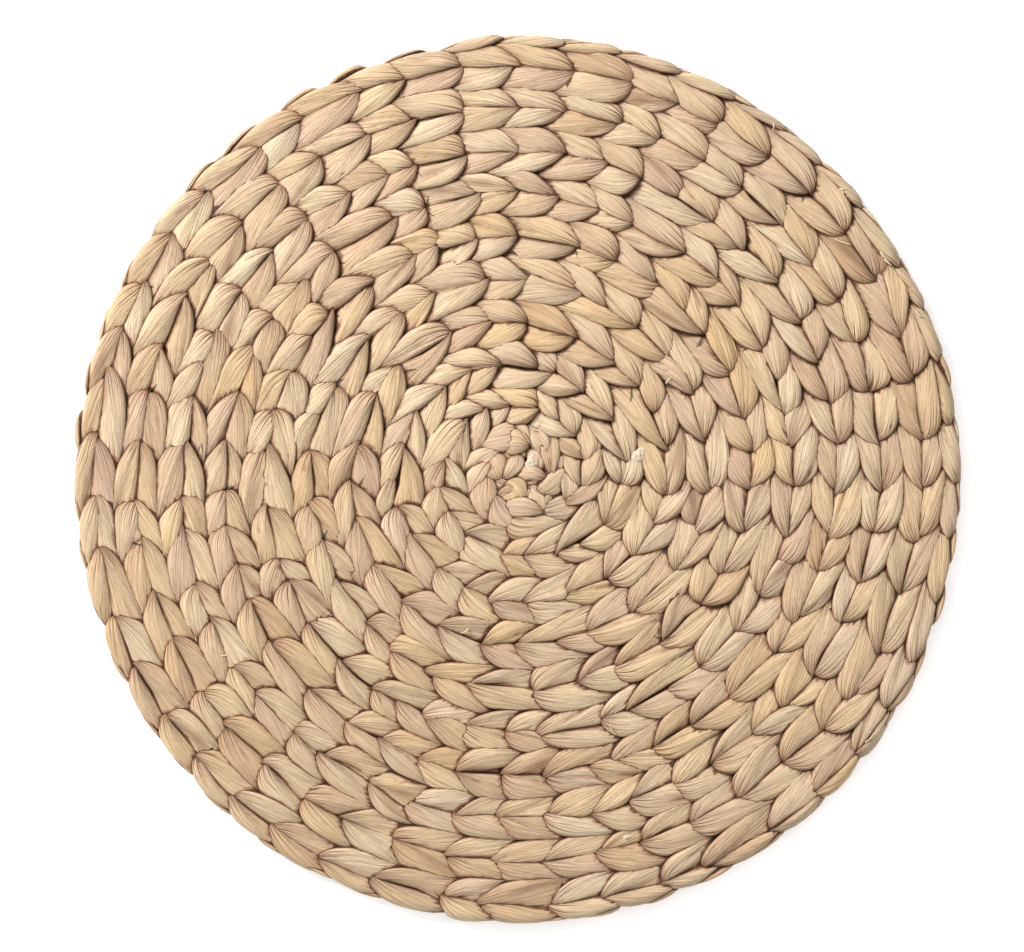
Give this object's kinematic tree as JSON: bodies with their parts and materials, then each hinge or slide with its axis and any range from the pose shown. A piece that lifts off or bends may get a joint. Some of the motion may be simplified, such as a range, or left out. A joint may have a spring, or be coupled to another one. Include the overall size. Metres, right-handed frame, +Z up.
{
  "type": "round woven placemat",
  "caption": "Round flat table mat, hand twined from thick dried water-plant strands in a spiral of chevron rows, that protects a table under a plate or a hot dish.",
  "frame": {"origin": "centre of the mat's outline, on the table", "axes": "+Z up out of the mat's face, +X to the right and +Y to the top of the picture, which looks straight down on the face"},
  "size_m": [0.3704, 0.3706, 0.0096],
  "materials": {
    "dried_strand": "matt dried plant fibre, straw coloured with browner seams"
  },
  "bodies": {
    "root": {"woven_mat": "dried_strand"}
  },
  "joints": []
}
